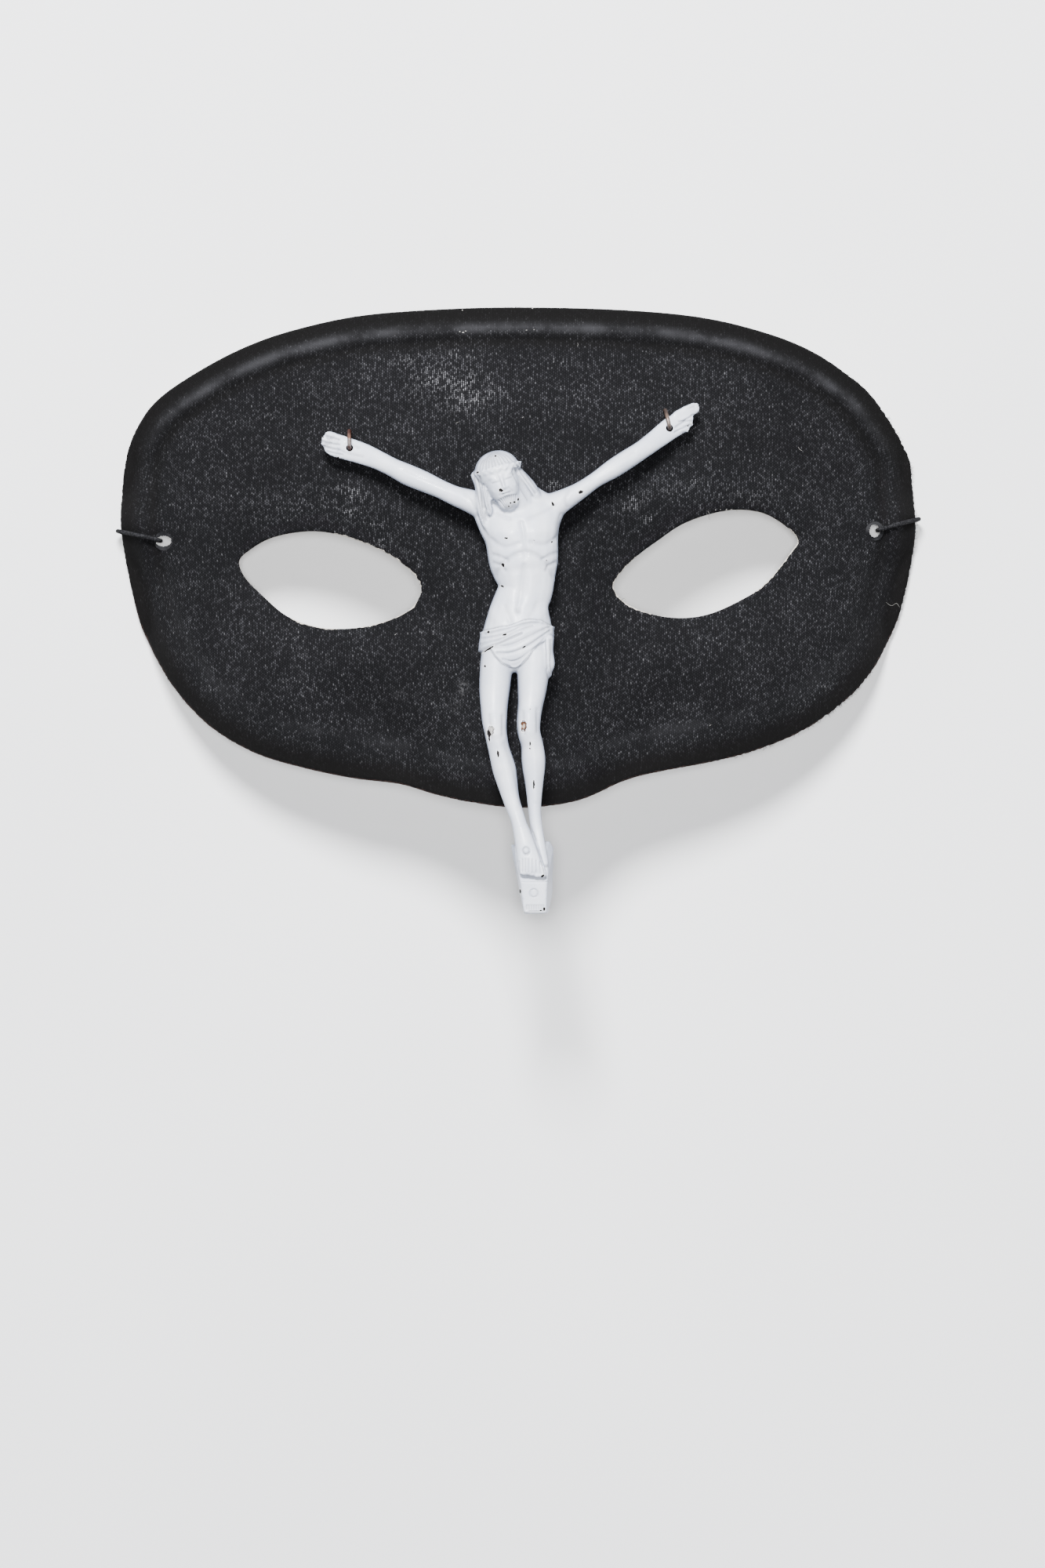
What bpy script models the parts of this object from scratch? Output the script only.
# A fabric-covered half mask with a cast crucifix figure wired to its front, lying face up.
# +X is the right of the mask seen from the front, +Y its brow, +Z out of its face, z = 0 the table.
import math

import bmesh
import bpy
import numpy as np
from mathutils.geometry import delaunay_2d_cdt

mm = 0.001

# Mask: overall size, wall and the form of the face
mask_width = 190.0
mask_height = 117.3
mask_wall = 1.6
brow_edge_y = 70.9
dome_height = 36.75
side_wrap = 35.5
wrap_power = 2.1
brow_lean = 6.0
chin_lean = 5.0
fullest_y = 27.0
brow_reach = 44.0
chin_reach = 73.0
nose_rise = 13.0
nose_half_width = 16.0
nose_start_y = 20.0
nose_length = 58.0
nose_arch = 1.5
cheek_rise = 2.5
cheek_place = (54.0, -16.0)
cheek_half_width = 22.0
cheek_half_height = 14.0
crease_depth = 1.6
crease_half_width = 6.0
crease_line = ((37.0, -21.0), (19.0, -40.0))
socket_depth = 1.8
socket_line = ((30.0, 6.0), (56.0, 11.0))
socket_reach = 8.0
socket_fade = 7.0
rim_crest = 1.1
rim_crest_inset = 5.0
rim_crest_half_width = 2.2
rim_groove = 0.9
rim_groove_inset = 8.1
rim_groove_half_width = 1.6
rim_fade_height = 30.0
rim_least = 0.25

# Where the side edges rest on the table, and the arch between them that the elastic goes through.
# The sides are bent from the first to the second share of the half width, and rest on a strip as wide
# as the inset.
side_bend_start = 0.82
side_bend_end = 0.98
rest_inset = 2.4
rest_low_y = -1.0
rest_low_pull = 4.9
rest_low_half = 14.0
rest_high_y = 36.0
rest_high_pull = 1.6
rest_high_half = 7.0
arch_y = 20.8
arch_rise = 4.2
arch_half = 6.5

# Holes in the mask
eye_left_width = 43.4
eye_left_height = 22.9
eye_left_centre = (-44.3, 7.0)
eye_right_width = 43.8
eye_right_height = 25.6
eye_right_centre = (44.3, 10.9)
side_hole_width = 4.5
side_hole_left = (-84.4, 17.0)
side_hole_right = (84.9, 19.4)
wire_width = 0.9
wire_play = 0.35

# Fineness of the mask's facets
edge_step = 5.0
face_step = 7.0
eye_step = 3.9

# Crucifix figure: its height from crown to toe, where its crown lies and how it clears the mask
figure_height = 99.4
figure_crown = (0.2, 37.0)
figure_gap = 0.3
arm_sag = 3.6
arm_sag_start = 9.0
arm_sag_length = 28.0
arm_sag_power = 1.6
grain = 0.5
figure_facet_count = 3700
palm_hole_width = 1.7
palm_left = (-39.7, 0.6)
palm_right = (35.4, 5.2)
tie_reach_left = (-0.1, 4.1)
tie_reach_right = (-1.0, 4.3)
hand_height = 3.3
head_tilt = 18.0
head_centre = (-4.0, -7.4, 7.4)
brow_bead_count = 15
brow_bead_size = (0.85, 0.6, 0.75)

# Carving of the figure: how far the cloth stands up, and the depth and half width of each kind of cut
cloth_lift = 0.5
cloth_edge_width = 0.5
fold_depth = 0.5
fold_half_width = 0.42
muscle_depth = 0.32
muscle_half_width = 0.6
swell_height = 0.4
swell_half_width = 1.5
hair_depth = 0.5
hair_half_width = 0.36
eye_hollow_depth = 0.55
mouth_depth = 0.4

# Elastic
elastic_width = 1.0
elastic_gap = 0.3
knot_width = 3.2
knot_share = 0.52
edge_pull_left_y = 19.2
edge_pull_right_y = 22.3

# The outlines below are drawn in millimetres and stretched to the sizes above
MASK_OUTLINE = [
    (0.1, 70.8), (-18.5, 70.4), (-37.0, 69.2), (-51.9, 66.4), (-63.2, 63.0), (-74.6, 57.8),
    (-85.2, 51.3), (-90.5, 45.2), (-93.6, 38.0), (-94.9, 27.0), (-94.4, 15.5), (-91.0, -0.6),
    (-87.7, -8.5), (-83.2, -16.2), (-77.4, -23.3), (-70.7, -29.0), (-61.3, -34.0), (-50.0, -37.3),
    (-38.8, -39.6), (-27.7, -41.0), (-19.4, -43.4), (-11.1, -45.2), (1.2, -46.5), (14.5, -44.7),
    (27.4, -39.4), (47.9, -35.3), (59.1, -32.0), (68.6, -27.7), (77.2, -21.7), (83.9, -14.7),
    (88.8, -6.4), (92.1, 2.3), (94.9, 17.4), (94.3, 32.0), (92.7, 39.4), (84.9, 50.9),
    (78.1, 56.6), (69.6, 61.7), (59.2, 65.5), (44.2, 68.8), (25.6, 70.3)]
EYE_OUTLINE_LEFT = [
    (-65.9, 11.7), (-64.4, 7.8), (-60.2, 3.5), (-54.6, -1.2), (-48.0, -3.8), (-41.5, -4.5),
    (-35.0, -3.8), (-28.5, -1.8), (-24.5, 0.7), (-22.6, 4.6), (-24.8, 8.6), (-30.4, 12.9),
    (-37.8, 16.2), (-45.2, 18.2), (-51.7, 18.3), (-58.3, 17.0), (-63.4, 14.3)]
EYE_OUTLINE_RIGHT = [
    (22.4, 4.9), (25.5, 1.3), (32.0, -1.2), (38.5, -1.9), (45.0, -0.9), (51.5, 1.9),
    (57.1, 5.3), (61.4, 9.8), (64.7, 14.1), (66.2, 16.8), (63.3, 20.0), (58.0, 22.9),
    (51.5, 23.6), (44.9, 22.4), (38.4, 19.9), (32.9, 16.2), (27.7, 12.3), (23.7, 8.0)]

# The figure is drawn for a height of 100, from its crown at y = 0; w is the height over its back.
# Each body section is x, y, w, half width, half depth.
FIGURE_TRUNK = [
    (0.0, -9.6, 3.2, 5.5, 2.6), (0.0, -12.2, 3.0, 9.6, 3.4), (0.1, -15.0, 3.2, 10.6, 4.4),
    (0.3, -17.9, 3.3, 9.7, 5.2), (0.7, -21.2, 3.3, 8.6, 5.5), (1.1, -25.8, 3.2, 8.2, 5.3),
    (1.4, -28.4, 3.0, 7.7, 4.6), (1.8, -32.8, 2.8, 6.3, 4.0), (0.8, -35.3, 2.8, 6.4, 4.1),
    (0.2, -38.2, 3.0, 7.1, 4.6), (-0.1, -41.8, 3.2, 7.9, 5.0), (-0.5, -45.5, 3.4, 8.2, 5.0),
    (-0.8, -48.6, 3.6, 8.0, 4.4), (-0.8, -50.4, 3.6, 6.4, 3.2)]
FIGURE_ARM_LEFT = [
    (-7.0, -14.0, 3.2, 3.4, 3.0), (-11.1, -12.3, 3.1, 2.8, 2.7), (-14.8, -11.0, 2.9, 2.35, 2.3),
    (-18.4, -9.3, 2.8, 2.2, 2.1), (-22.3, -7.5, 2.7, 2.45, 2.3), (-26.0, -5.9, 2.6, 2.5, 2.3),
    (-29.6, -4.1, 2.4, 2.2, 2.0), (-33.3, -2.2, 2.2, 2.3, 1.6), (-36.9, -0.7, 2.0, 2.6, 1.3),
    (-40.2, 0.4, 1.9, 2.75, 1.1), (-43.0, 1.3, 1.8, 2.8, 0.95), (-45.0, 2.0, 1.7, 2.3, 0.8)]
FIGURE_ARM_RIGHT = [
    (7.4, -13.7, 3.2, 3.3, 3.0), (10.7, -11.9, 3.1, 2.6, 2.7), (14.4, -9.7, 2.9, 2.05, 2.3),
    (18.1, -7.1, 2.8, 1.85, 2.1), (21.9, -4.6, 2.7, 2.25, 2.3), (25.4, -2.3, 2.6, 2.3, 2.3),
    (29.0, 0.1, 2.4, 2.2, 2.0), (32.7, 2.9, 2.1, 2.4, 1.5), (35.5, 5.1, 1.9, 2.65, 1.2),
    (38.0, 6.7, 1.8, 2.65, 1.05)]
FIGURE_LEG_LEFT = [
    (-4.6, -46.5, 4.0, 3.9, 4.0), (-5.2, -51.0, 4.3, 3.8, 4.0), (-5.6, -56.5, 4.9, 3.55, 3.7),
    (-5.7, -60.1, 5.7, 3.2, 3.4), (-5.6, -63.8, 6.8, 2.9, 3.1), (-5.3, -66.5, 7.0, 2.6, 2.9),
    (-4.6, -70.2, 6.4, 2.5, 2.6), (-3.4, -74.7, 5.8, 2.75, 2.8), (-2.7, -77.8, 5.7, 2.45, 2.6),
    (-1.7, -82.0, 5.9, 1.95, 2.0), (0.0, -87.0, 6.7, 1.75, 1.8), (0.8, -90.6, 7.3, 1.85, 1.8)]
FIGURE_LEG_RIGHT = [
    (3.5, -47.5, 4.0, 3.8, 4.0), (3.4, -51.5, 4.2, 3.8, 4.0), (3.1, -56.5, 4.6, 3.35, 3.8),
    (2.7, -60.1, 5.3, 2.9, 3.5), (2.3, -63.8, 6.3, 2.75, 3.2), (2.4, -66.5, 6.4, 2.65, 2.9),
    (3.1, -69.2, 5.7, 2.6, 2.6), (3.4, -72.3, 5.2, 2.8, 2.7), (3.5, -75.0, 4.9, 2.6, 2.6),
    (3.6, -79.2, 4.5, 2.0, 2.1), (3.7, -84.5, 4.2, 1.5, 1.7), (4.2, -88.8, 4.3, 1.45, 1.6),
    (5.1, -93.4, 5.2, 1.35, 1.5), (5.8, -97.0, 6.6, 1.2, 1.0)]
FIGURE_FOOT = [
    (0.4, -88.4, 7.0, 1.9, 1.9), (1.3, -91.4, 7.5, 2.3, 2.0), (2.1, -94.4, 8.2, 2.7, 1.7),
    (2.8, -97.2, 9.0, 3.05, 1.3), (3.1, -98.6, 9.3, 3.0, 1.0)]
FIGURE_SOLID_SHAPES = {
    "neck": [(0.6, -15.0, 4.0, 4.6, 3.2), (-1.2, -11.0, 5.4, 3.5, 3.4), (-2.6, -8.0, 6.6, 3.4, 3.4)],
    "hair_right": [(-1.6, -4.4, 5.8, 1.5, 3.0), (-0.5, -5.9, 5.6, 1.7, 3.0), (0.9, -7.3, 5.4, 1.7, 2.8),
                   (2.4, -9.0, 5.2, 1.7, 2.4), (3.5, -10.7, 4.9, 1.6, 1.9), (4.4, -12.4, 4.6, 1.3, 1.3)],
    "hair_left": [(-10.1, -6.0, 5.4, 1.25, 1.5), (-9.1, -9.0, 5.6, 1.15, 1.7), (-8.7, -12.6, 5.7, 1.3, 1.5),
                  (-8.2, -16.0, 5.9, 1.1, 1.2), (-7.6, -18.6, 6.0, 0.7, 0.7)],
    "hair_lock": [(-8.2, -9.4, 7.2, 1.0, 1.3), (-7.3, -12.6, 7.3, 0.9, 1.2), (-6.6, -15.4, 7.4, 0.7, 0.9)],
    "cloth_tail": [(6.9, -44.4, 5.0, 0.85, 2.0), (6.8, -47.4, 5.2, 0.75, 1.9), (7.0, -50.3, 5.2, 0.95, 1.6),
                   (6.9, -51.7, 5.2, 0.6, 1.2)]}
FIGURE_FINGERS = [
    [(-42.6, 3.2, 1.9, 0.85, 0.7), (-44.4, 3.9, 1.9, 0.85, 0.7), (-45.3, 3.9, 1.9, 0.7, 0.6)],
    [(-43.0, 2.2, 1.9, 0.8, 0.75), (-45.4, 2.9, 1.9, 0.75, 0.7), (-46.2, 2.9, 1.9, 0.6, 0.6)],
    [(-43.0, 1.0, 1.9, 0.8, 0.75), (-45.2, 1.6, 1.9, 0.75, 0.7), (-46.2, 1.8, 1.9, 0.6, 0.6)],
    [(-42.6, -0.3, 1.9, 0.8, 0.75), (-44.6, 0.3, 1.9, 0.7, 0.65), (-45.4, 0.6, 1.9, 0.6, 0.6)],
    [(36.8, 7.9, 1.9, 1.3, 0.9), (39.4, 9.2, 1.9, 1.5, 0.85), (41.4, 10.1, 1.9, 1.45, 0.75),
     (42.2, 10.3, 1.9, 1.2, 0.65)],
    [(37.8, 7.4, 2.1, 0.8, 0.8), (39.8, 7.6, 2.2, 0.8, 0.75), (40.7, 7.5, 2.0, 0.7, 0.65)],
    [(37.8, 6.2, 2.1, 0.8, 0.8), (39.6, 6.3, 2.2, 0.8, 0.75), (40.6, 6.3, 2.0, 0.7, 0.65)],
    [(37.4, 5.0, 2.1, 0.75, 0.8), (39.0, 5.0, 2.2, 0.7, 0.75), (39.8, 4.9, 2.0, 0.65, 0.6)]]
FIGURE_TOES = [
    [(0.7, -96.4, 8.8, 0.6, 0.6), (0.8, -98.1, 9.2, 0.55, 0.5)],
    [(1.7, -97.0, 9.1, 0.6, 0.6), (1.9, -98.8, 9.4, 0.5, 0.5)],
    [(2.8, -97.4, 9.3, 0.6, 0.65), (3.0, -99.3, 9.6, 0.55, 0.5)],
    [(3.9, -97.6, 9.3, 0.65, 0.65), (4.2, -99.6, 9.6, 0.6, 0.55)],
    [(5.2, -97.3, 9.2, 0.95, 0.8), (5.7, -99.5, 9.5, 0.9, 0.7)]]
LOINCLOTH_EDGE = [
    (-12.0, -43.8), (-7.6, -42.6), (-3.9, -41.9), (-1.8, -41.5), (0.6, -40.5), (2.6, -40.1),
    (5.2, -40.4), (7.0, -41.3), (12.0, -42.4), (12.0, -54.0), (6.9, -54.0), (6.5, -52.0),
    (6.4, -45.0), (4.8, -45.9), (3.3, -47.3), (2.1, -49.2), (0.8, -50.6), (-0.7, -51.3),
    (-2.1, -51.2), (-3.9, -50.4), (-5.4, -48.8), (-6.5, -47.0), (-8.0, -47.5), (-12.0, -48.8)]
CLOTH_FOLDS = [
    [(-7.0, -43.8), (-2.6, -42.6), (2.6, -40.8), (6.4, -41.6)],
    [(-8.4, -45.2), (-3.2, -44.0), (1.4, -41.6), (5.2, -41.4)],
    [(-8.8, -47.0), (-4.0, -45.0), (0.6, -43.2), (4.0, -42.0)],
    [(-5.6, -46.6), (-1.4, -46.2), (2.6, -44.2), (5.6, -42.6)],
    [(-4.6, -48.0), (-0.8, -48.2), (2.8, -46.0), (6.2, -43.6)],
    [(7.0, -45.0), (7.1, -48.6), (7.2, -52.2)]]
MUSCLE_LINES = [
    [(0.6, -17.5), (1.3, -21.5), (1.6, -25.5)],
    [(-6.6, -21.4), (-3.4, -23.4), (0.2, -22.6)],
    [(9.4, -20.6), (6.2, -22.8), (2.6, -22.3)],
    [(-5.4, -29.4), (-3.0, -26.6), (1.4, -24.8), (5.6, -26.4), (8.2, -29.4)],
    [(-5.8, -25.4), (-3.4, -26.2), (-2.2, -27.0)],
    [(8.9, -24.8), (6.8, -25.8), (5.4, -26.6)],
    [(-5.4, -27.4), (-3.8, -28.2), (-2.8, -29.2)],
    [(8.6, -27.2), (7.2, -28.2), (6.2, -29.4)],
    [(1.2, -27.5), (0.4, -33.0), (-0.2, -38.6)]]
MUSCLE_SWELLS = [
    [(-5.0, -19.6), (-2.2, -20.4)], [(7.2, -19.2), (4.2, -20.0)],
    [(-1.2, -30.0), (-1.6, -36.0)], [(3.2, -30.0), (2.6, -36.4)],
    [(-6.4, -38.6), (-4.6, -41.2)], [(6.6, -37.6), (5.4, -39.2)]]
HAIR_LINES = [
    [(-10.6, -6.4), (-9.9, -10.0), (-9.2, -13.6), (-8.4, -17.4)],
    [(-9.7, -6.8), (-8.9, -10.4), (-8.2, -13.8), (-7.9, -17.0)],
    [(-8.2, -9.6), (-7.6, -12.6), (-7.0, -15.4)],
    [(0.6, -4.6), (2.4, -7.4), (4.4, -10.4)],
    [(-0.2, -5.4), (1.6, -8.4), (3.6, -11.6)],
    [(-0.8, -6.6), (0.6, -9.4), (2.4, -12.6)]]

# Foot block: plan corners (x, y) of its back, and of its front with the height over the back
BLOCK_BACK = [(-1.9, -92.4), (1.2, -108.6), (6.9, -108.3), (7.9, -103.6), (8.2, -93.2), (7.2, -91.4)]
BLOCK_FRONT = [(-0.9, -92.6, 3.2), (0.3, -100.8, 8.8), (1.2, -108.1, 7.4),
               (6.4, -108.1, 7.4), (6.6, -100.8, 8.8), (6.5, -92.8, 3.2)]

# Wire ties: each point is a share of the way from the hole under the palm to the hole above the hand,
# the surface it is measured from, and its height over that surface
WIRE_ROUTE = [
    (0.34, "back under palm", -2.6), (0.10, "back under palm", -1.6), (0.0, "back under palm", 0.0),
    (0.0, "back of hand", 0.0), (0.0, "top of hand", -0.4), (0.10, "top of hand", 0.55),
    (0.30, "top of hand", 0.85), (0.62, "top of hand", 0.35), (0.88, "top of hand", -1.0),
    (1.0, "top of hand", -2.4), (1.0, "back above hand", 0.0), (0.92, "back above hand", -1.6),
    (0.66, "back above hand", -2.4), (0.60, "back under palm", -5.4), (0.42, "back under palm", -5.6)]

# Elastic: the route of the free length inside the mask, knot to knot, lying on the table
ELASTIC_ROUTE = [
    (-89.7, 20.2), (-88.2, 24.6), (-82.6, 27.0), (-78.4, 30.6), (-77.6, 38.4), (-72.0, 44.5),
    (-64.0, 44.0), (-58.5, 36.0), (-51.5, 29.5), (-43.5, 32.5), (-41.0, 42.0), (-37.0, 52.0),
    (-28.0, 56.0), (-20.0, 51.0), (-17.0, 41.0), (-11.0, 32.5), (-2.0, 32.5), (3.0, 41.0),
    (7.0, 51.5), (16.0, 56.5), (25.0, 53.0), (28.5, 43.5), (34.0, 34.5), (43.0, 32.5),
    (49.0, 39.5), (55.0, 47.5), (64.0, 48.0), (71.0, 42.0), (75.4, 34.0), (81.0, 28.8),
    (87.0, 27.4), (89.9, 23.2)]
elastic_point_count = 80


def remove_everything():
    for item in list(bpy.data.objects):
        bpy.data.objects.remove(item, do_unlink=True)


def finish_material(name, colour, roughness, metallic=0.0):
    """A plain finish of the part's own colour."""
    material = bpy.data.materials.new(name)
    material.use_nodes = True
    shader = material.node_tree.nodes["Principled BSDF"]
    shader.inputs["Base Color"].default_value = (*colour, 1.0)
    shader.inputs["Roughness"].default_value = roughness
    shader.inputs["Metallic"].default_value = metallic
    return material


def add_object(name, data, material):
    """Put a mesh or curve into the scene under its own name, with its finish."""
    item = bpy.data.objects.new(name, data)
    data.materials.append(material)
    bpy.context.scene.collection.objects.link(item)
    return item


def smooth_curve(points, parts, closed):
    """Points on a Catmull-Rom curve through the given points, with this many parts in each span."""
    nodes = np.array(points, dtype=float)
    count = len(nodes)
    if closed:
        spans = [[(i + k - 1) % count for k in range(4)] for i in range(count)]
    else:
        spans = [[max(i - 1, 0), i, i + 1, min(i + 2, count - 1)] for i in range(count - 1)]
    curve = []
    for span in spans:
        a, b, c, d = nodes[span]
        for t in np.arange(parts) / parts:
            curve.append(0.5 * (2 * b + (c - a) * t + (2 * a - 5 * b + 4 * c - d) * t ** 2
                                + (3 * b - a - 3 * c + d) * t ** 3))
    if not closed:
        curve.append(nodes[-1])
    return np.array(curve)


def evenly_spaced(curve, count, closed):
    """The same curve as this many points at equal distances along it."""
    if closed:
        curve = np.vstack([curve, curve[:1]])
    lengths = np.linalg.norm(np.diff(curve, axis=0), axis=1)
    travelled = np.concatenate([[0.0], np.cumsum(lengths)])
    marks = np.linspace(0.0, travelled[-1], count + 1 if closed else count)
    spaced = np.stack([np.interp(marks, travelled, curve[:, k]) for k in range(curve.shape[1])], axis=1)
    return spaced[:-1] if closed else spaced


def closed_loop(points, step):
    """An outline drawn by a few points, as a smooth loop with points about a step apart."""
    curve = smooth_curve(points, 12, True)
    around = np.linalg.norm(np.diff(np.vstack([curve, curve[:1]]), axis=0), axis=1).sum()
    return evenly_spaced(curve, max(8, round(around / step)), True)


def stretched(points, width, height, centre):
    """An outline moved and stretched to a width, a height and a centre."""
    drawn = np.array(points, dtype=float)
    low = drawn.min(axis=0)
    high = drawn.max(axis=0)
    return (drawn - (low + high) / 2) / (high - low) * (width, height) + centre


def mask_outline():
    return stretched(MASK_OUTLINE, mask_width, mask_height, (0.0, brow_edge_y - mask_height / 2))


def eye_outlines():
    """The left and the right eye hole."""
    left = stretched(EYE_OUTLINE_LEFT, eye_left_width, eye_left_height, eye_left_centre)
    right = stretched(EYE_OUTLINE_RIGHT, eye_right_width, eye_right_height, eye_right_centre)
    return [closed_loop(left, eye_step), closed_loop(right, eye_step)]


def circle(centre, width, corners):
    turn = np.arange(corners) * 2 * math.pi / corners
    return np.stack([centre[0] + width / 2 * np.cos(turn), centre[1] + width / 2 * np.sin(turn)], axis=1)


def inset_loop(loop, inset):
    """The loop moved inwards by an inset; it runs counter-clockwise."""
    along = np.roll(loop, -1, axis=0) - np.roll(loop, 1, axis=0)
    along /= np.linalg.norm(along, axis=1)[:, None]
    return loop + inset * np.stack([-along[:, 1], along[:, 0]], axis=1)


def distance_to(points, line, closed):
    """The distance from each point to a line through a few points, in plan."""
    line = np.array(line, dtype=float)
    ends = np.roll(line, -1, axis=0) if closed else line[1:]
    starts = line if closed else line[:-1]
    nearest = np.full(len(points), np.inf)
    for start, end in zip(starts, ends):
        span = end - start
        share = np.clip(((points - start) @ span) / max(span @ span, 1e-9), 0.0, 1.0)
        gap = np.linalg.norm(points - start - share[:, None] * span, axis=1)
        nearest = np.minimum(nearest, gap)
    return nearest


def inside(points, loop):
    """Whether each point lies inside a closed loop, in plan."""
    within = np.zeros(len(points), dtype=bool)
    x, y = points[:, 0], points[:, 1]
    for start, end in zip(loop, np.roll(loop, -1, axis=0)):
        crosses = (start[1] > y) != (end[1] > y)
        rise = end[1] - start[1] if end[1] != start[1] else 1e-9
        within ^= crosses & (x < (end[0] - start[0]) * (y - start[1]) / rise + start[0])
    return within


def bell(distance, half_width):
    return np.exp(-(distance / half_width) ** 2)


def face_form(points):
    """Height of the bare front over the table."""
    x = np.abs(points[:, 0])
    y = points[:, 1]
    half = mask_width / 2
    across = x / half
    brow = np.clip((y - fullest_y) / brow_reach, 0.0, None)
    chin = np.clip((fullest_y - y) / chin_reach, 0.0, None)
    height = dome_height - side_wrap * across ** wrap_power
    height -= (brow_lean * brow ** 2 + chin_lean * chin ** 2) * (1 - np.clip(across, 0, 1) ** 4)
    share = np.clip((nose_start_y - y) / nose_length, 0.0, 1.0)
    height += nose_rise * bell(x, nose_half_width) * share * (nose_arch - (nose_arch - 1) * share)
    cheek = bell(x - cheek_place[0], cheek_half_width) * bell(y - cheek_place[1], cheek_half_height)
    height += cheek_rise * cheek
    mirrored = np.stack([x, y], axis=1)
    height -= crease_depth * bell(distance_to(mirrored, crease_line, False), crease_half_width)
    socket = distance_to(mirrored, socket_line, False)
    height -= socket_depth * bell(np.clip(socket - socket_reach, 0.0, None), socket_fade)
    side = np.clip((across - side_bend_start) / (side_bend_end - side_bend_start), 0.0, 1.0)
    side = side * side * (3 - 2 * side)
    height -= side * rest_low_pull * bell(y - rest_low_y, rest_low_half)
    height -= side * rest_high_pull * bell(y - rest_high_y, rest_high_half)
    height += side * arch_rise * bell(y - arch_y, arch_half)
    return height


def mask_front(points):
    """Heights of the front and of the back of the wall, which is thicker in z where the form slopes."""
    height = face_form(points)
    nudge = 0.2
    slope_x = (face_form(points + (nudge, 0)) - face_form(points - (nudge, 0))) / (2 * nudge)
    slope_y = (face_form(points + (0, nudge)) - face_form(points - (0, nudge))) / (2 * nudge)
    wall = mask_wall * np.sqrt(1 + slope_x ** 2 + slope_y ** 2)
    back = np.maximum(height - wall, 0.0)
    return back + wall, back


def rim_band(points, outline):
    """The raised band that follows the mask's edge, and the groove inside it."""
    inset = distance_to(points, outline, True)
    strength = np.clip((points[:, 1] + rim_fade_height) / rim_fade_height, rim_least, 1.0)
    return strength * (rim_crest * bell(inset - rim_crest_inset, rim_crest_half_width)
                       - rim_groove * bell(inset - rim_groove_inset, rim_groove_half_width))


def wire_plan():
    """Where each wire goes through the mask: under the palm, and above the hand."""
    scale = figure_height / 100.0
    places = []
    for palm, reach in ((palm_left, tie_reach_left), (palm_right, tie_reach_right)):
        under = (figure_crown[0] + palm[0] * scale, figure_crown[1] + palm[1] * scale)
        above = (under[0] + reach[0] * scale, under[1] + reach[1] * scale)
        places.append((under, above))
    return places


def make_mask_shell(material):
    """The moulded shell with its fabric: one wall between the front form and its back."""
    outline = closed_loop(mask_outline(), edge_step)
    fine = closed_loop(mask_outline(), 2.0)
    eyes = eye_outlines()
    small = [circle(side_hole_left, side_hole_width, 10), circle(side_hole_right, side_hole_width, 10)]
    for under, above in wire_plan():
        small.append(circle(under, wire_width + 2 * wire_play, 6))
        small.append(circle(above, wire_width + 2 * wire_play, 6))
    holes = eyes + small
    rings = [inset_loop(outline, inset) for inset in (rest_inset, rim_crest_inset, rim_groove_inset)]

    low = outline.min(axis=0)
    high = outline.max(axis=0)
    columns = int((high[0] - low[0]) / face_step)
    rows = int((high[1] - low[1]) / (face_step * 0.87))
    grid = np.array([(low[0] + (i + 0.5 * (j % 2)) * face_step, low[1] + j * face_step * 0.87)
                     for j in range(rows + 1) for i in range(columns + 2)])
    keep = inside(grid, outline) & (distance_to(grid, rings[-1], True) > 0.45 * face_step)
    keep &= distance_to(grid, outline, True) > rim_groove_inset
    for hole in eyes:
        keep &= ~inside(grid, hole) & (distance_to(grid, hole, True) > 0.4 * face_step)
    for hole in small:
        keep &= np.linalg.norm(grid - hole.mean(axis=0), axis=1) > 0.55 * face_step
    points = np.vstack([outline] + rings + holes + [grid[keep]])

    edges = []
    start = 0
    for loop in [outline] + rings + holes:
        count = len(loop)
        edges += [(start + i, start + (i + 1) % count) for i in range(count)]
        start += count
    flat, _, triangles, _, _, _ = delaunay_2d_cdt([tuple(p) for p in points], edges, [], 1, 1e-5)
    flat = np.array([tuple(p) for p in flat])
    centres = np.array([flat[list(t)].mean(axis=0) for t in triangles])
    solid = inside(centres, outline)
    for hole in holes:
        solid &= ~inside(centres, hole)
    triangles = [tuple(t) for t, keeps in zip(triangles, solid) if keeps]

    front, back = mask_front(flat)
    band = rim_band(flat, fine)
    top = np.column_stack([flat, front + band])
    bottom = np.column_stack([flat, back])
    count = len(flat)
    faces = []
    directed = set()
    for a, b, c in triangles:
        p, q, r = flat[[a, b, c]]
        if (q[0] - p[0]) * (r[1] - p[1]) - (q[1] - p[1]) * (r[0] - p[0]) < 0:
            b, c = c, b
        faces.append((a, b, c))
        faces.append((count + c, count + b, count + a))
        directed.update([(a, b), (b, c), (c, a)])
    for a, b in sorted(directed):
        if (b, a) not in directed:
            faces.append((a, count + a, count + b))
            faces.append((a, count + b, b))
    mesh = bpy.data.meshes.new("mask_shell")
    mesh.from_pydata((np.vstack([top, bottom]) * mm).tolist(), [], faces)
    drop_loose_points(mesh)
    shade_round(mesh)
    return add_object("mask_shell", mesh, material)


def drop_loose_points(mesh):
    work = bmesh.new()
    work.from_mesh(mesh)
    loose = [v for v in work.verts if not v.link_faces]
    bmesh.ops.delete(work, geom=loose, context="VERTS")
    work.to_mesh(mesh)
    work.free()


def shade_round(mesh, sharp_angle=50.0):
    mesh.shade_smooth()
    mesh.set_sharp_from_angle(angle=math.radians(sharp_angle))


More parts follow.
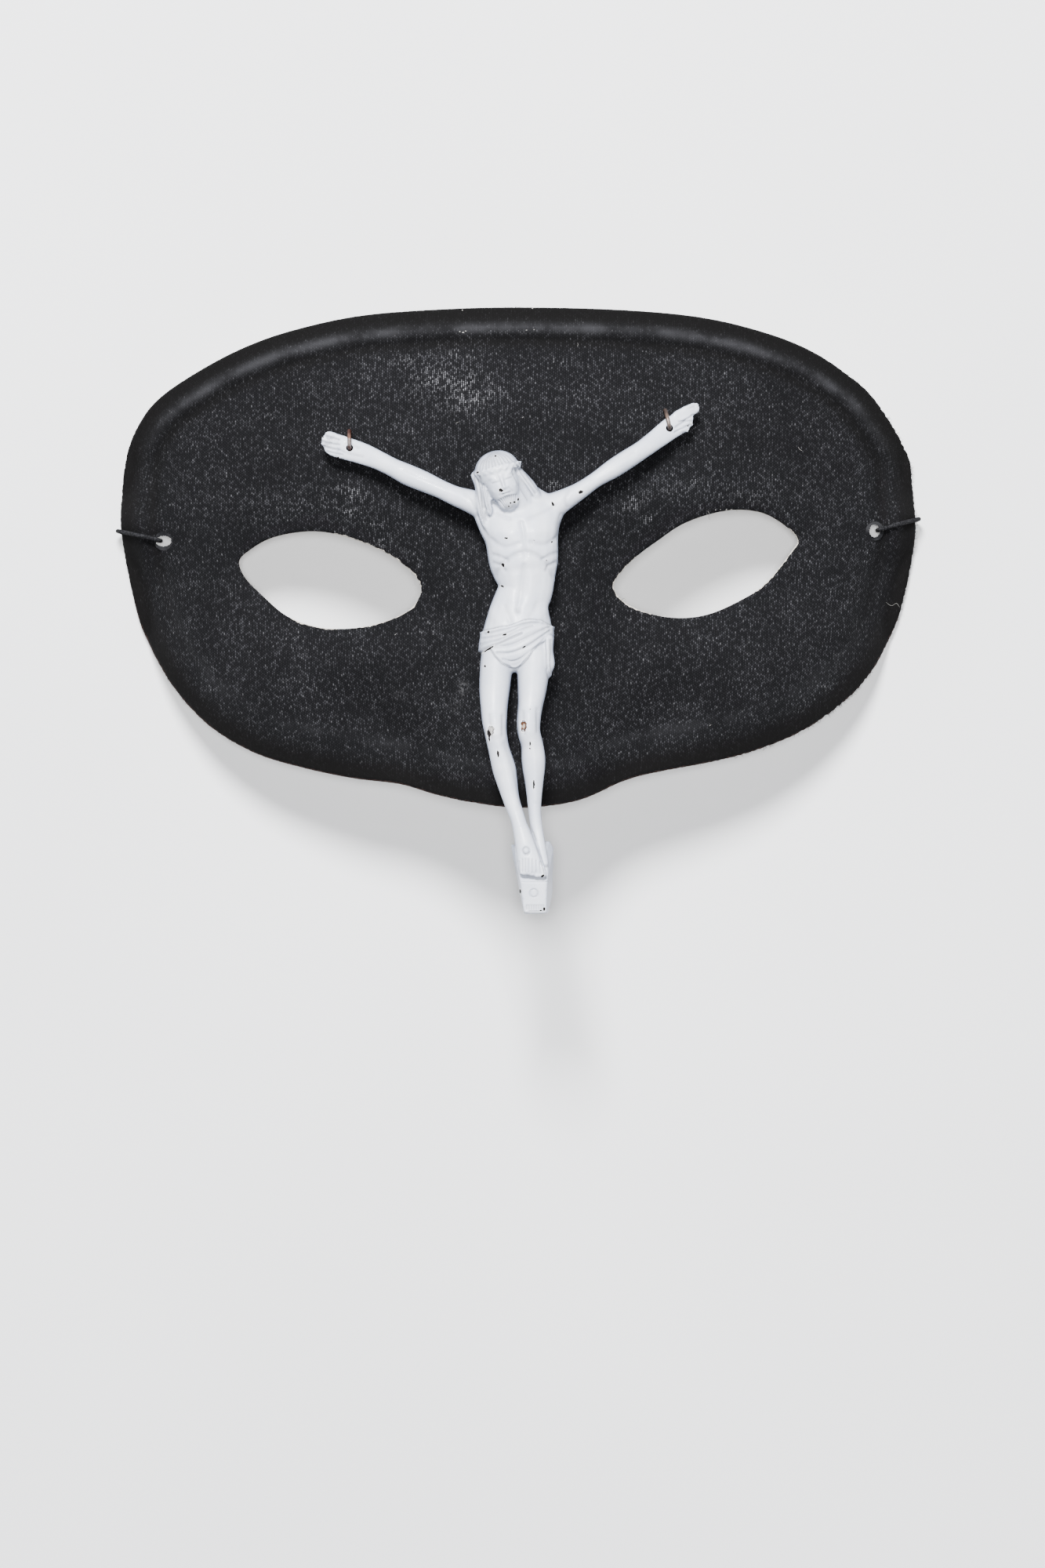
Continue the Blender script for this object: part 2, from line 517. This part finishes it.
def loft(work, sections, around=18, parts=3):
    """Add one closed limb to the mesh, through sections of x, y, w, half width and half depth."""
    rings = smooth_curve(sections, parts, False)
    centres = rings[:, :3]
    along = np.gradient(centres, axis=0)
    along /= np.linalg.norm(along, axis=1)[:, None]
    sideways = np.cross(along, (0.0, 0.0, 1.0))
    sideways /= np.linalg.norm(sideways, axis=1)[:, None]
    outwards = np.cross(sideways, along)
    turn = np.arange(around) * 2 * math.pi / around
    loops = []
    first = rings[0]
    last = rings[-1]
    ends = [(0, first, -1.0), (len(rings) - 1, last, 1.0)]
    caps = []
    for index, ring, way in ends:
        reach = 0.6 * min(ring[3], ring[4])
        caps.append([(index, centres[index] + way * reach * s * along[index], ring[3] * c, ring[4] * c)
                     for s, c in ((0.75, 0.7), (1.0, 0.3))])
    body = [(i, centres[i], rings[i][3], rings[i][4]) for i in range(len(rings))]
    for index, centre, half_width, half_depth in caps[0][::-1] + body + caps[1]:
        loops.append([work.verts.new(centre + half_width * math.cos(a) * sideways[index]
                                     + half_depth * math.sin(a) * outwards[index]) for a in turn])
    for low, high in zip(loops[:-1], loops[1:]):
        for i in range(around):
            j = (i + 1) % around
            work.faces.new((low[i], low[j], high[j], high[i]))
    work.faces.new(loops[0][::-1])
    work.faces.new(loops[-1])


def egg(work, centre, radii, tilt=0.0):
    """Add one closed egg to the mesh, turned in plan by a tilt in degrees."""
    made = bmesh.ops.create_icosphere(work, subdivisions=3, radius=1.0)["verts"]
    cos, sin = math.cos(math.radians(tilt)), math.sin(math.radians(tilt))
    for vert in made:
        x, y, w = (vert.co[k] * radii[k] for k in range(3))
        vert.co = (centre[0] + x * cos - y * sin, centre[1] + x * sin + y * cos, centre[2] + w)


def on_head(across, down, out=0.0):
    """A place on the tilted head: across to the right, down the face, out of it."""
    tilt = math.radians(head_tilt)
    return (head_centre[0] + across * math.cos(tilt) + down * math.sin(tilt),
            head_centre[1] + across * math.sin(tilt) - down * math.cos(tilt), head_centre[2] + out)


def add_head(work):
    """Skull, face, beard and the twisted band that is bound round the brow."""
    egg(work, on_head(-0.3, -2.4, -1.2), (5.3, 4.7, 5.2), head_tilt)
    egg(work, on_head(0.0, 1.0, 0.2), (3.9, 5.2, 4.2), head_tilt)
    egg(work, on_head(0.0, 5.2, 0.4), (2.6, 2.6, 2.6), head_tilt)
    egg(work, on_head(0.0, 1.5, 4.2), (0.62, 1.5, 0.9), head_tilt)
    for i in range(brow_bead_count):
        angle = math.radians(200.0 + 140.0 * i / (brow_bead_count - 1))
        side = math.cos(angle) * 5.3
        front = -math.sin(angle) * 4.9 - 1.0
        lift = 0.35 if i % 2 else -0.35
        egg(work, on_head(side, -2.5 + lift + 0.10 * side, front), brow_bead_size, head_tilt + 30.0)


def add_block(work):
    """The wedge under the feet, a flat-backed block with a sloping top face."""
    points = [(x, y, 0.0) for x, y in BLOCK_BACK] + list(BLOCK_FRONT)
    verts = [work.verts.new(p) for p in points]
    hull = bmesh.ops.convex_hull(work, input=verts)
    spare = [g for g in hull["geom_interior"] + hull["geom_unused"] if isinstance(g, bmesh.types.BMVert)]
    bmesh.ops.delete(work, geom=spare, context="VERTS")


def figure_body():
    """The overlapping closed forms that the figure is cast from, as one mesh."""
    work = bmesh.new()
    for sections in (FIGURE_TRUNK, FIGURE_ARM_LEFT, FIGURE_ARM_RIGHT, FIGURE_LEG_LEFT,
                     FIGURE_LEG_RIGHT, FIGURE_FOOT):
        loft(work, sections)
    for sections in FIGURE_SOLID_SHAPES.values():
        loft(work, sections, 12)
    for sections in FIGURE_FINGERS + FIGURE_TOES:
        loft(work, sections, 8)
    add_head(work)
    add_block(work)
    bmesh.ops.recalc_face_normals(work, faces=work.faces)
    mesh = bpy.data.meshes.new("corpus_forms")
    work.to_mesh(mesh)
    work.free()
    return mesh


def stroke(points, line, half_width):
    """How strongly a chisel stroke along a smooth line reaches each point, from 0 to 1."""
    path = smooth_curve(line, 5, False)
    low = path.min(axis=0) - 3 * half_width
    high = path.max(axis=0) + 3 * half_width
    near = np.all((points > low) & (points < high), axis=1)
    strength = np.zeros(len(points))
    strength[near] = bell(distance_to(points[near], path, False), half_width)
    return strength


def carve_figure(places, normals):
    """Raise the cloth and cut its folds, the ribs and the hair into the front of the figure."""
    plan = places[:, :2]
    facing = np.clip(normals[:, 2] * 1.6, 0.0, 1.0)
    cloth = np.array(LOINCLOTH_EDGE)
    hips = np.abs(plan[:, 1] + 47.0) < 9.0
    edge = distance_to(plan, cloth, True)
    in_cloth = np.where(inside(plan, cloth) & hips, np.clip(edge / cloth_edge_width, 0.0, 1.0), 0.0)
    lift = cloth_lift * in_cloth
    for fold in CLOTH_FOLDS:
        lift -= fold_depth * stroke(plan, fold, fold_half_width) * facing
    for line in MUSCLE_LINES:
        lift -= muscle_depth * stroke(plan, line, muscle_half_width) * facing
    for swell in MUSCLE_SWELLS:
        lift += swell_height * stroke(plan, swell, swell_half_width) * facing
    for lock in HAIR_LINES:
        lift -= hair_depth * stroke(plan, lock, hair_half_width) * facing
    for side in (-1.0, 1.0):
        eye_hollow = [on_head(side * 1.2, -0.4)[:2], on_head(side * 2.4, -0.2)[:2]]
        lift -= eye_hollow_depth * stroke(plan, eye_hollow, 0.8) * facing
    mouth = [on_head(-1.1, 3.9)[:2], on_head(1.1, 3.9)[:2]]
    lift -= mouth_depth * stroke(plan, mouth, 0.35) * facing
    carved = places + normals * lift[:, None]
    carved[:, 2] = np.maximum(carved[:, 2], 0.0)
    return carved


def ridge_line():
    """Height and slope of the straight line that the figure's back lies on, just over the mask."""
    scale = figure_height / 100.0
    y = np.linspace(figure_crown[1], brow_edge_y - mask_height, 60)
    plan = np.stack([np.full_like(y, figure_crown[0]), y], axis=1)
    widest = np.stack([mask_front(plan + (shift * scale, 0.0))[0] for shift in (-8, -4, 0, 4, 8)])
    ridge = widest.max(axis=0)
    slope = np.polyfit(y, ridge, 1)[0]
    return (ridge - slope * y).max() + figure_gap, slope


def place_figure(places):
    """Lay the drawn figure on the mask: along its nose, with the arms sinking towards its sides."""
    scale = figure_height / 100.0
    base, slope = ridge_line()
    x = figure_crown[0] + places[:, 0] * scale
    y = figure_crown[1] + places[:, 1] * scale
    reach = np.clip((np.abs(places[:, 0]) - arm_sag_start) / arm_sag_length, 0.0, None)
    z = base + slope * y + places[:, 2] * scale - arm_sag * scale * reach ** arm_sag_power
    return np.stack([x, y, z], axis=1)


def make_corpus(material):
    """The cast figure: its forms melted into one skin, carved, laid on the mask and drilled."""
    item = add_object("corpus", figure_body(), material)
    remesh = item.modifiers.new("one_skin", "REMESH")
    remesh.mode = "VOXEL"
    remesh.voxel_size = grain
    depsgraph = bpy.context.evaluated_depsgraph_get()
    melted = bpy.data.meshes.new_from_object(item.evaluated_get(depsgraph))
    item.modifiers.remove(remesh)
    work = bmesh.new()
    work.from_mesh(melted)
    bmesh.ops.smooth_vert(work, verts=work.verts, factor=0.5,
                          use_axis_x=True, use_axis_y=True, use_axis_z=True)
    bmesh.ops.triangulate(work, faces=work.faces)
    work.to_mesh(melted)
    work.free()
    places = np.zeros(len(melted.vertices) * 3)
    normals = np.zeros(len(melted.vertices) * 3)
    melted.vertices.foreach_get("co", places)
    melted.vertices.foreach_get("normal", normals)
    placed = place_figure(carve_figure(places.reshape(-1, 3), normals.reshape(-1, 3))) * mm
    melted.vertices.foreach_set("co", placed.ravel())
    melted.materials.clear()
    melted.materials.append(material)
    item.data = melted
    thin = item.modifiers.new("fewer_facets", "DECIMATE")
    thin.ratio = figure_facet_count / len(melted.polygons)
    for index, (under, _) in enumerate(wire_plan()):
        drill = item.modifiers.new("palm_hole_%d" % index, "BOOLEAN")
        drill.solver = "EXACT"
        drill.operation = "DIFFERENCE"
        drill.object = make_drill("palm_drill_%d" % index, under)
    melted.shade_smooth()
    return item


def make_drill(name, place):
    """A hidden cutter that drills one palm through."""
    work = bmesh.new()
    scale = figure_height / 100.0
    bmesh.ops.create_cone(work, cap_ends=True, segments=12, radius1=palm_hole_width * scale * mm / 2,
                          radius2=palm_hole_width * scale * mm / 2, depth=40.0 * scale * mm)
    mesh = bpy.data.meshes.new(name)
    work.to_mesh(mesh)
    work.free()
    cutter = bpy.data.objects.new(name, mesh)
    cutter.location = (place[0] * mm, place[1] * mm, ridge_line()[0] * mm)
    cutter.hide_render = True
    cutter.display_type = "WIRE"
    bpy.context.scene.collection.objects.link(cutter)
    return cutter


def make_tube(name, route, width, material, closed=False, swell=None):
    """A round wire or cord along a route in millimetres; swell is its thickness at each point."""
    curve = bpy.data.curves.new(name, "CURVE")
    curve.dimensions = "3D"
    curve.bevel_depth = width / 2 * mm
    curve.bevel_resolution = 2
    curve.use_fill_caps = not closed
    spline = curve.splines.new("POLY")
    spline.points.add(len(route) - 1)
    for index, place in enumerate(route):
        spline.points[index].co = (place[0] * mm, place[1] * mm, place[2] * mm, 1.0)
        spline.points[index].radius = swell[index] if swell is not None else 1.0
    spline.use_cyclic_u = closed
    return add_object(name, curve, material)


def make_wire_tie(name, palm, under, above, material):
    """A loop of wire: up through mask and palm, over the hand, down through the mask again."""
    under = np.array(under)
    above = np.array(above)
    hand_back = place_figure(np.array([(*palm, 0.0)]))[0][2]
    back_under, back_above = mask_front(np.array([under, above]))[1] - wire_width
    surfaces = {"back under palm": back_under, "back above hand": back_above, "back of hand": hand_back,
                "top of hand": hand_back + hand_height * figure_height / 100.0 + wire_width / 2}
    route = [(*(under + share * (above - under)), surfaces[surface] + height)
             for share, surface, height in WIRE_ROUTE]
    loop = evenly_spaced(smooth_curve(route, 4, True), 26, True)
    return make_tube(name, loop, wire_width, material, closed=True)


def side_edge(side, y):
    """The point of the mask's edge at this height, on the side of this sign."""
    fine = closed_loop(mask_outline(), 0.5)
    fine = fine[fine[:, 0] * side > 0]
    return fine[np.argmin(np.abs(fine[:, 1] - y))]


def make_elastic_tie(name, hole, edge, material):
    """The elastic's loop: up through a side hole, over the cloth, round the edge, knotted inside."""
    hole = np.array(hole)
    reach = edge - hole
    out = reach / np.linalg.norm(reach)
    radius = elastic_width / 2
    rise = hole + out * (side_hole_width / 2 - radius - elastic_gap)
    knot = hole + knot_share * reach
    plan = np.array([rise + elastic_gap * out, hole + 0.55 * reach, hole + 0.85 * reach, edge])
    front, back = mask_front(plan)
    over = front + rim_band(plan, closed_loop(mask_outline(), 2.0)) + radius + 1.5 * elastic_gap
    corner = edge + out * radius
    outer = edge + out * (radius + 3 * elastic_gap)
    route = [(*plan[0], over[0]), (*plan[1], over[1]), (*plan[2], over[2]), (*corner, over[3]),
             (*outer, (over[3] + radius) / 2), (*plan[2], radius), (*knot, knot_width / 2),
             (*rise, back[0] - 2 * elastic_width), (*rise, over[0] - 1.6 * elastic_width)]
    loop = evenly_spaced(smooth_curve(route, 6, True), 30, True)
    near = np.linalg.norm(loop - (*knot, knot_width / 2), axis=1)
    swell = 1.0 + (knot_width / elastic_width - 1.0) * np.exp(-(near / (0.42 * knot_width)) ** 4)
    loop[:, 2] = np.maximum(loop[:, 2], radius * swell)
    return make_tube(name, loop, elastic_width, material, closed=True, swell=swell)


def build():
    remove_everything()
    fabric = finish_material("black_knit", (0.016, 0.016, 0.018), 0.85)
    paint = finish_material("white_paint", (0.80, 0.81, 0.84), 0.35)
    copper = finish_material("rusty_wire", (0.30, 0.14, 0.09), 0.55, 0.8)
    elastic = finish_material("black_elastic", (0.012, 0.012, 0.013), 0.75)
    make_mask_shell(fabric)
    make_corpus(paint)
    left, right = wire_plan()
    make_wire_tie("wire_tie_left", palm_left, left[0], left[1], copper)
    make_wire_tie("wire_tie_right", palm_right, right[0], right[1], copper)
    make_elastic_tie("elastic_tie_left", side_hole_left, side_edge(-1, edge_pull_left_y), elastic)
    make_elastic_tie("elastic_tie_right", side_hole_right, side_edge(1, edge_pull_right_y), elastic)
    route = np.array(ELASTIC_ROUTE)
    cord = evenly_spaced(smooth_curve(route, 8, False), elastic_point_count, False)
    cord = np.column_stack([cord, np.full(len(cord), elastic_width / 2)])
    make_tube("elastic_cord", cord, elastic_width, elastic)


build()
